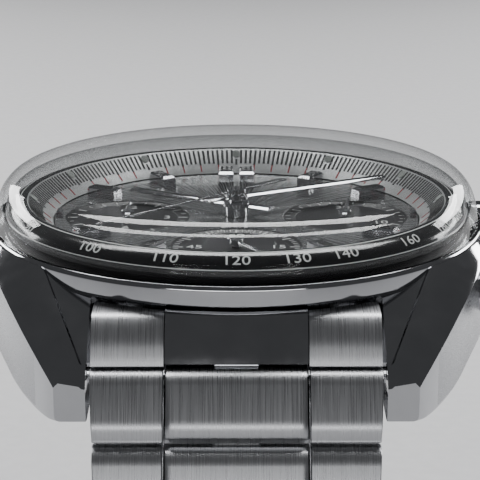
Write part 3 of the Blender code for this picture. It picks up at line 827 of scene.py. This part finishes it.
def baton_hand(node, turn, length, width, tail, inlay):
    """A baton with bevelled edges and a dark strip let into it."""
    low, high = extent(node)[0].z, extent(node)[1].z - 0.1
    blade = high - (0.22 if width > 0.6 else 0.15)
    move = spun(turn)
    outline = mirrored([(width / 2, -tail), (width / 2, length - 0.35), (width * 0.3, length)])
    half, rise = width * 0.22, (high - blade) * 0.45
    crest = [(x * 0.62, y + (0.08 if y < 0 else -0.12)) for x, y in outline]
    levels = ((outline, blade), (outline, blade + rise), (crest, high))
    shape = loft(*[[move @ Vector((x, y, z)) for x, y in ring] for ring, z in levels])
    piece(node + "_blade", shape, node, [RHODIUM], sharp=18, stands_for=(node,))
    strip = prism(bar_outline(half, *inlay), high - 0.03, high + 0.02, frame=move)
    piece(node + "_strip", strip, node, [BLACK_LACQUER])


def hub(name, node, at, radius, foot_radius, bore):
    """A hand's boss, polished on top, on its tube down to the dial."""
    low, high = extent(node)[0].z, extent(node)[1].z
    outer = [(foot_radius, low), (foot_radius, high - 0.34), (radius, high - 0.34), (radius, high - 0.06),
             (radius - 0.07, high)]
    profile = [(bore, low)] + outer + [(bore, high)]
    piece(name, turned(profile, PLAIN, (*at, 0)), node, [RHODIUM])


def hands():
    centre = (0.0, 0.0)
    baton_hand("hour_hand", 300, 10.0, 1.15, 3.2, (3.0, 9.2))
    hub("hour_hub", "hour_hand", centre, 1.05, 0.84, 0.62)
    baton_hand("minute_hand", 61, 14.2, 0.95, 2.8, (4.2, 13.2))
    hub("minute_hub", "minute_hand", centre, 0.9, 0.52, 0.3)
    needle = [(0.34, -5.5), (0.34, -2.2), (0.14, -1.4), (0.13, 0.0), (0.08, 14.6)]
    flat_hand("chrono_seconds_hand", "chrono_needle", "chrono_hub", centre, 225, needle, 0.16, 0.05, 0.75)
    counters = (("minute_counter_hand", MINUTE_COUNTER, 7.5), ("hour_counter_hand", HOUR_COUNTER, 0),
                ("small_seconds_hand", SMALL_SECONDS, 150))
    for node, at, turn in counters:
        flat_hand(node, node + "_blade", node + "_hub", at, turn, [(0.2, -1.1), (0.24, 0.0), (0.07, 4.1)],
                  0.15, 0.04, 0.5)


def flat_hand(node, blade, boss, at, turn, side, depth, bevel, boss_radius):
    """A flat blade from its right-hand outline, with its boss."""
    top = extent(node)[1].z - 0.1
    shape = prism(mirrored(side), top - depth, top, (*at, 0), spun(turn))
    soften(piece(blade, shape, node, [RHODIUM], sharp=None, stands_for=(node,)), bevel, 2)
    hub(boss, node, at, boss_radius, 0.22, 0.0)


# ---- crown and pushers

def fluted(profile, teeth, depth, at):
    """A grip turned about X whose outer surface is fluted; profile holds (radius, x, flute share)."""
    steps = teeth * 8
    rows = []
    for radius, x, share in profile:
        ring = []
        for k in range(steps):
            a = 2 * math.pi * k / steps
            wave = abs(math.sin(teeth * a / 2)) ** 0.6
            r = radius - depth * share * (1 - wave)
            ring.append((x, at[1] + r * math.cos(a), at[2] + r * math.sin(a)))
        rows.append(ring)
    return loft(*rows)


def crown():
    at = (0, 0, STEM_Z)
    shape = fluted([(2.5, 20.06, 0), (2.75, 20.12, 0), (3.0, 20.3, 0.5), (3.14, 20.5, 1), (3.14, 22.8, 1),
                    (3.0, 23.0, 0.6), (2.75, 23.12, 0), (2.4, 23.16, 0)], 30, 0.26, at)
    piece("crown_grip", shape, "crown", [BRIGHT_STEEL], sharp=50, stands_for=("crown",))
    cap = eased([(0, 23.1), (2.45, 23.1), (2.45, 23.26), (2.2, 23.36), (0, 23.39)], 0.1)
    piece("crown_cap", turned(cap, PLAIN, at, TO_X), "crown", [SATIN_STEEL])
    finish_node("winding_stem", BRIGHT_STEEL)
    finish_node("setting_lever", SATIN_STEEL, bevel=0.05)
    finish_node("crown_tube", BRIGHT_STEEL)


def pushers():
    for name, y in (("start", PUSHER_Y), ("reset", -PUSHER_Y)):
        at = (0, y, STEM_Z)
        head = [(0, 13.8), (0.8, 13.8), (0.82, 21.3), (1.55, 21.3), (1.55, 19.97), (2.05, 19.97),
                (2.14, 20.08), (2.14, 22.6), (1.9, 22.88), (0, 22.94)]
        piece(f"pusher_{name}_cap", turned(eased(head, 0.09), PLAIN, at, TO_X), f"pusher_{name}",
              [BRIGHT_STEEL, SATIN_STEEL], lambda c, n: 1 if n.x > 0.95 else 0,
              stands_for=(f"pusher_{name}",))
        finish_node(f"pusher_tube_{name}", BRIGHT_STEEL)


# ---- movement

def screw(shape, slots, x, y, low, high, radius):
    """A slotted screw head that faces down, towards the case back."""
    profile = [(0, low), (radius - 0.06, low), (radius, low + 0.06), (radius, high), (0, high)]
    turned(profile, 32, (x, y, 0), shape=shape)
    bar = [(-radius * 0.9, -0.07), (radius * 0.9, -0.07), (radius * 0.9, 0.07), (-radius * 0.9, 0.07)]
    prism(bar, low - 0.01, low + 0.03, (x, y, 0), Matrix.Rotation(x + 2 * y, 4, "Z"), slots)


def jewel(stones, settings, x, y, low):
    tube(0.16, 0.42, low, low + 0.12, 32, (x, y, 0), shape=stones)
    tube(0.42, 0.62, low - 0.02, low + 0.12, 32, (x, y, 0), shape=settings)


def spiral(centre, low, high, inner, outer, turns, width):
    """The flat hairspring, as one thin wound strip."""
    steps = int(turns * 40)
    rows = []
    for k in range(steps + 1):
        a = 2 * math.pi * turns * k / steps
        r = inner + (outer - inner) * k / steps
        spot = Vector((centre[0], centre[1], 0))
        way = Vector((math.cos(a), math.sin(a), 0))
        rows.append([spot + way * (r + side) + Vector((0, 0, z))
                     for side, z in ((-width, low), (width, low), (width, high), (-width, high))])
    return loft(*rows)


def movement():
    looks = (("mainplate", PEARL, 0), ("movement_holder", SATIN_STEEL, 0), ("train_bridge", PLATE, 0.12),
             ("balance_cock", PLATE, 0.12), ("mainspring_barrel", GILT_TURNED, 0.04),
             ("fourth_wheel", GILT, 0.03), ("escape_wheel", BRIGHT_STEEL, 0.02),
             ("column_wheel", BLUED, 0.05), ("pallet_fork", BRIGHT_STEEL, 0.03),
             ("balance_wheel", GILT, 0.04), ("rotor_bearing", BRIGHT_STEEL, 0))
    for node, finish, bevel in looks:
        finish_node(node, finish, bevel)
    rotor()
    low = extent("train_bridge")[0].z
    heads, slots, stones, settings = bmesh.new(), bmesh.new(), bmesh.new(), bmesh.new()
    for x, y in ((-11.2, 1.6), (-7.4, 9.6), (0.6, 11.4), (8.8, 7.6), (11.2, 1.0), (8.3, -9.4)):
        screw(heads, slots, x, y, low - 0.12, low + 0.05, 0.62)
    for x, y in ((-6.6, 5.2), (-1.6, 6.6), (3.4, 4.4), (7.0, 3.2), (-3.4, 1.4), (6.4, -7.2)):
        jewel(stones, settings, x, y, low - 0.06)
    piece("bridge_screws", heads, "case", [BLUED])
    piece("screw_slots", slots, "case", [BLACK_PRINT])
    piece("jewels", stones, "case", [RUBY])
    piece("jewel_settings", settings, "case", [GILT])
    centre = pivot("balance_swing")
    piece("hairspring", spiral(centre, 5.95, 6.08, 0.5, 2.3, 9, 0.018), "balance_wheel",
          [BLUED])


def rotor():
    """The winding weight: a skeletonised half disc with a thick rim, turned and bevelled."""
    low, high = extent("rotor")[0].z, extent("rotor")[1].z
    radius = 13.6
    web = arc((0, 0), radius, 200, 340, 70) + arc((0, 0), 2.2, 340, 200, 30)
    shape = prism(web, 2.95, 3.35)
    weight = piece("rotor_web", shape, "rotor", [ROTOR_STEEL], sharp=None,
                   stands_for=("rotor",))
    for start, end in ((212, 262), (278, 328)):
        window = arc((0, 0), 10.4, start, end, 24) + arc((0, 0), 5.2, end - 4, start + 4, 18)
        carve(weight, prism(window, 2, 4))
    soften(weight, 0.08, 2, 50)
    rim = arc((0, 0), radius, 200, 340, 70) + arc((0, 0), radius - 2, 340, 200, 70)
    soften(piece("rotor_rim", prism(rim, 3.3, high), "rotor", [ROTOR_STEEL], sharp=None),
           0.12, 2, 50)
    ring = eased([(1.3, low), (2.6, low), (2.6, 3.5), (1.3, 3.5)], 0.08, closed=True)
    piece("rotor_hub", turned(ring, PLAIN), "rotor", [BRIGHT_STEEL])
    heads, slots = bmesh.new(), bmesh.new()
    for k in range(3):
        a = math.radians(90 + 120 * k)
        screw(heads, slots, 1.95 * math.cos(a), 1.95 * math.sin(a), low - 0.05, low + 0.1, 0.3)
    piece("rotor_screws", heads, "rotor", [BLUED])
    piece("rotor_screw_slots", slots, "rotor", [BLACK_PRINT])


# ---- bracelet

def band(name, shape, body, stands_for=(), finishes=LINK_FINISHES):
    """A piece of the bracelet, brushed along it and polished at its sides."""
    return piece(name, shape, body, finishes, bright_sides, None, stands_for=stands_for)


class Row:
    """A bracelet row's own directions: u to the next hinge, w away from the wrist, x across."""

    def __init__(self, side, index):
        label = "12" if side > 0 else "6"
        self.side, self.index, self.label = side, index, label
        start = pivot(f"row_{label}_{index}")
        end = pivot(f"row_{label}_{index + 1}") if index < ROWS else CLASP_END
        self.y, self.z = abs(start.y), start.z
        run = Vector((abs(end.y) - self.y, end.z - self.z))
        self.along = run.normalized()
        share = (HEAD_HALF - CLASP_HALF) / ROWS
        self.near = HEAD_HALF - share * (index - 1)
        self.far = HEAD_HALF - share * index

    def at(self, x, u, w):
        dy, dz = self.along
        return Vector((x, self.side * (self.y + u * dy - w * dz), self.z + u * dz + w * dy))

    def slab(self, outline, half):
        """A section in (u, w), carried across from -half to half."""
        return loft(*[[self.at(x, u, w) for u, w in outline] for x in (-half, half)])


def link_outline(lift):
    """A link's section: round knuckle, flat top, rolled shoulder, and the hollow for the next one."""
    r = KNUCKLE_R
    head = [(r * math.cos(a), (r + (lift if a < math.pi else 0)) * math.sin(a))
            for a in (math.radians(270 - 180 * k / 20) for k in range(21))]
    shoulder = [(PITCH - r - 0.95, r + lift), (PITCH - r - 0.2, r - 0.4 + lift)]
    shoulder = eased([head[-1]] + shoulder + [(PITCH - r - 0.12, 0.95)], 0.5, 5)[1:-1]
    scoop = arc((PITCH, 0), SCOOP_R, 146, 214, 8)
    return head + shoulder + scoop + [(PITCH - r - 0.5, -r + 0.12), (PITCH - r - 0.9, -r)]


def link(row):
    """One row: two side links and a raised centre link, with the heads of its pin."""
    body = f"link_{row.label}_{row.index}"
    low = link_outline(0.0)
    for side, label in ((1, "3"), (-1, "9")):
        step = CENTRE_HALF + 0.05
        inner = [row.at(side * step, u, w) for u, w in low]
        outer = [row.at(side * (row.near + (row.far - row.near) * u / PITCH), u, w) for u, w in low]
        soften(band(f"{body}_side_{label}", loft(inner, outer), body), 0.1)
    half = CENTRE_HALF - 0.03
    shoulders = ((0.0, -0.1), (0.12, 0.12), (0.35, 0.23), (0.75, CENTRE_LIFT))
    rises = [(inset - half, lift) for inset, lift in shoulders]
    rises += [(half - inset, lift) for inset, lift in reversed(shoulders)]
    centre = loft(*[[row.at(x, u, w) for u, w in link_outline(lift)] for x, lift in rises])
    core = band(f"{body}_centre", centre, body, (body,))
    eye_pocket(core, row)
    if (row.side, row.index) != (1, ROWS):
        eye(core, row)
    soften(core, 0.16)
    pins = bmesh.new()
    for side in (-1, 1):
        place = row.at(side * (row.near - 0.4), 0, 0)
        head = [(0, 0), (0.5, 0), (0.5, 0.38), (0.42, 0.44), (0, 0.44)]
        turned([(r, side * x) for r, x in head], 32, place, TO_X, pins)
    piece(f"{body}_pin_heads", pins, body, [BRIGHT_STEEL])


def eye_pocket(obj, row):
    """The space for the next eye, kept below the knuckle's top so that the seam stays closed."""
    deep = 1.08
    box = arc((0, 0), deep, -125, 120, 20) + [(-1.1, 0.76), (-2.4, 0.76), (-2.4, -1.3), (-1.1, -1.1)]
    carve(obj, row.slab(box, 1.62))
    carve(obj, row.slab(arc((0, 0), 0.45, 0, 345, 23), 2.5), "UNION")


def eye(obj, row, half=0.55):
    """The eye that a link or end link puts round the next pin, on a shank of this half thickness."""
    lean = 180 - math.degrees(math.asin(half / 0.95))
    outline = [(u + PITCH, w) for u, w in arc((0, 0), 0.95, lean, -lean, 24)]
    outline += [(PITCH - 2.1, -half), (PITCH - 2.1, half)]
    carve(obj, row.slab(outline, 1.5), "UNION")
    carve(obj, row.slab([(PITCH + u, w) for u, w in arc((0, 0), 0.58, 0, 345, 23)], 2))


def end_link_outline(first, lift):
    top = curve_through([(16.8, 7.75), (18.9, 7.75), (19.9, 7.3), (20.7, 6.35), (21.15, 5.35),
                         (21.4, 4.6)], 4)
    top = [(y + lift * 0.6, z + lift * 0.8) for y, z in top]
    scoop = arc((first.y, first.z), SCOOP_R, 90, 200, 14)
    # The hollow's roof rises too, so that the first row's raised centre turns under it.
    scoop = [(y, z + lift * max(0.0, 1 - 2 * k / len(scoop))) for k, (y, z) in enumerate(scoop)]
    return top + scoop + [(19.4, 1.7), (18.2, 1.5), (16.8, 1.6)]


def end_link(side, label):
    """The piece between two lugs, hollowed to sit against the case."""
    first = Row(side, 1)
    around_case = [(0, -1), (17.75, -1), (17.75, 5.6), (18.55, 7.1), (19.5, 7.9), (19.72, 8.2), (19.72, 12),
                   (0, 12)]
    made = []
    spans = (("side_3", CENTRE_HALF + 0.05, HEAD_HALF, 0.0),
             ("side_9", -HEAD_HALF, -CENTRE_HALF - 0.05, 0.0),
             ("centre", -CENTRE_HALF + 0.03, CENTRE_HALF - 0.03, CENTRE_LIFT))
    for name, x0, x1, lift in spans:
        outline = end_link_outline(first, lift)
        shape = loft(*[[(x, side * y, z) for y, z in outline] for x in (x0, x1)])
        finishes = LINK_FINISHES if lift == 0 else [BRIGHT_STEEL, BRIGHT_STEEL]
        obj = band(f"end_link_{label}_{name}", shape, "case", finishes=finishes)
        carve(obj, turned(around_case))
        carve(obj, tube(0, 0.68, -12, 12, 32, middle(f"spring_bar_{label}"), TO_X))
        made.append(obj)
    swing = math.radians(-JOINTS[f"row_{label}_1"]["range_deg"][0]) / 2
    neck = Row(side, 1)
    dy, dz = neck.along
    neck.along = Vector((dy * math.cos(swing) - dz * math.sin(swing),
                         dz * math.cos(swing) + dy * math.sin(swing)))
    neck.y, neck.z = neck.y - PITCH * neck.along.x, neck.z - PITCH * neck.along.y
    eye(made[-1], neck, 0.34)
    for obj in made:
        soften(obj, 0.1)
    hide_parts(f"end_link_{label}")
    finish_node(f"spring_bar_{label}", BRIGHT_STEEL)


# ---- clasp

def leaf(low, high, start, end, x0, x1, steps=36):
    """A plate bent to the clasp's curve; angles are from straight down, positive towards 12 o'clock."""
    outline = arc((0, 0), low, start - 90, end - 90, steps) + arc((0, 0), high, end - 90, start - 90, steps)
    return loft(*[[(x, y, z) for y, z in outline] for x in (x0, x1)])


def barrel(at, radius, half):
    ring = arc(at, radius, 0, 348, 29)
    return loft(*[[(x, y, z) for y, z in ring] for x in (-half, half)])


def clasp():
    shape = leaf(CLASP_R + 0.3, CLASP_R + 1.4, -REACH + 1.2, REACH - 4.3, -CLASP_HALF, CLASP_HALF)
    cover = band("clasp_cover_plate", shape, "clasp_cover", ("clasp_cover",))
    for x in (-CLASP_HALF, CLASP_HALF - 0.8):
        carve(cover, leaf(CLASP_R - 1.3, CLASP_R + 0.4, -REACH + 4, REACH - 4.3, x, x + 0.8), "UNION")
    last = Row(-1, ROWS)
    last.y, last.z = -CLASP_END.y, CLASP_END.z
    low_end = math.radians(REACH)
    last.along = Vector((-math.cos(low_end), -math.sin(low_end)))
    knuckle = arc((0, 0), KNUCKLE_R, 270, 90, 20) + [(2.6, KNUCKLE_R - 0.1), (2.6, 0.35), (1.6, -0.6)]
    carve(cover, last.slab(knuckle, CLASP_HALF), "UNION")
    eye_pocket(cover, last)
    button_at = Vector((0, *middle("clasp_button_3").yz))
    carve(cover, tube(0, 0.95, -10, 10, 48, button_at, TO_X))
    soften(cover, 0.12, 2)
    for name, side in (("3", 1), ("9", -1)):
        profile = eased([(0, 6.9), (0.8, 6.9), (0.8, 8.25), (0.62, 8.48), (0, 8.5)], 0.08)
        shape = turned([(r, side * x) for r, x in profile], 48, button_at, TO_X)
        piece(f"clasp_button_{name}_cap", shape, f"clasp_button_{name}", [BRIGHT_STEEL],
              stands_for=(f"clasp_button_{name}",))
    blades()


def blades():
    first, second = pivot("clasp_open").yz, pivot("clasp_unfold").yz
    shape = leaf(CLASP_R - 0.7, CLASP_R + 0.1, -REACH + 11, REACH - 5.2, -5.6, 5.6)
    outer = band("blade_outer_leaf", shape, "clasp_blade_outer", ("clasp_blade_outer",))
    carve(outer, barrel(first, 0.5, 6.9), "UNION")
    for x in (-5.6, 3.8):
        fork = leaf(CLASP_R - 1.2, CLASP_R + 0.1, -REACH + 8.6, -REACH + 11.4, x, x + 1.8, 4)
        carve(outer, fork, "UNION")
    soften(outer, 0.08, 2)
    shape = leaf(CLASP_R - 1.6, CLASP_R - 0.85, -REACH + 9.2, REACH - 0.4, -3.5, 3.5)
    inner = band("blade_inner_leaf", shape, "clasp_blade_inner", ("clasp_blade_inner",))
    carve(inner, barrel(second, 0.55, 3.55), "UNION")
    carve(inner, barrel((-CLASP_END.y, CLASP_END.z), 1.25, CLASP_HALF - 0.4), "UNION")
    soften(inner, 0.08, 2)


# ---- floor, light and camera

def floor():
    finish = Finish("floor_paper", (0.66, 0.66, 0.67), 0.0, 0.6)
    fibre = finish.noise(finish.place((0.5, 0.5, 0.5)), 5.0)
    finish.tint(fibre, (0.64, 0.64, 0.65), (0.68, 0.68, 0.69))
    finish.relief(fibre, 0.05, 0.02)
    shape = bmesh.new()
    bmesh.ops.create_grid(shape, x_segments=1, y_segments=1, size=3.0)
    mesh = bpy.data.meshes.new("floor")
    shape.to_mesh(mesh)
    shape.free()
    mesh.materials.append(finish.material)
    obj = add_object("floor", mesh)
    obj.location.z = cad_box[0][2] - 0.0002


def lamp(name, place, size, power, target=(0, 0, 0.005)):
    data = bpy.data.lights.new(name, "AREA")
    data.shape = "RECTANGLE"
    data.size, data.size_y = size
    data.energy = power
    obj = add_object(name, data)
    obj.location = place
    obj.rotation_euler = (Vector(target) - Vector(place)).to_track_quat("-Z", "Y").to_euler()


def lights():
    lamp("overhead", (0.0, 0.20, 0.40), (0.50, 0.12), 2.4)
    lamp("left_rim", (-0.44, 0.42, 0.15), (0.45, 0.12), 2.6)
    lamp("right_rim", (0.44, 0.42, 0.15), (0.45, 0.12), 2.6)
    lamp("low_fill", (0.0, -0.45, 0.06), (0.50, 0.05), 0.6, (0, 0, -0.01))
    world = bpy.data.worlds.new("studio")
    world.use_nodes = True
    sky = world.node_tree.nodes["Background"]
    sky.inputs["Color"].default_value = (0.55, 0.56, 0.58, 1.0)
    sky.inputs["Strength"].default_value = 0.16
    bpy.context.scene.world = world


def camera():
    """A long lens a hand's length from 6 o'clock, looking along the dial."""
    distance, elevation, pitch, yaw = 0.130, math.radians(14.2), math.radians(15.65), math.radians(0.13)
    data = bpy.data.cameras.new("camera")
    data.lens = 121.9
    data.sensor_width = 36.0
    data.clip_start = 0.01
    obj = add_object("camera", data)
    obj.location = (0, -distance * math.cos(elevation), 0.011 + distance * math.sin(elevation))
    obj.rotation_euler = (math.radians(90) - pitch, 0, -yaw)
    bpy.context.scene.camera = obj


camera()
floor()
lights()
case()
crystal()
flange()
dial()
hands()
crown()
pushers()
movement()
for end_side, end_label in ((1, "12"), (-1, "6")):
    end_link(end_side, end_label)
    for row_index in range(1, ROWS + 1):
        link(Row(end_side, row_index))
clasp()
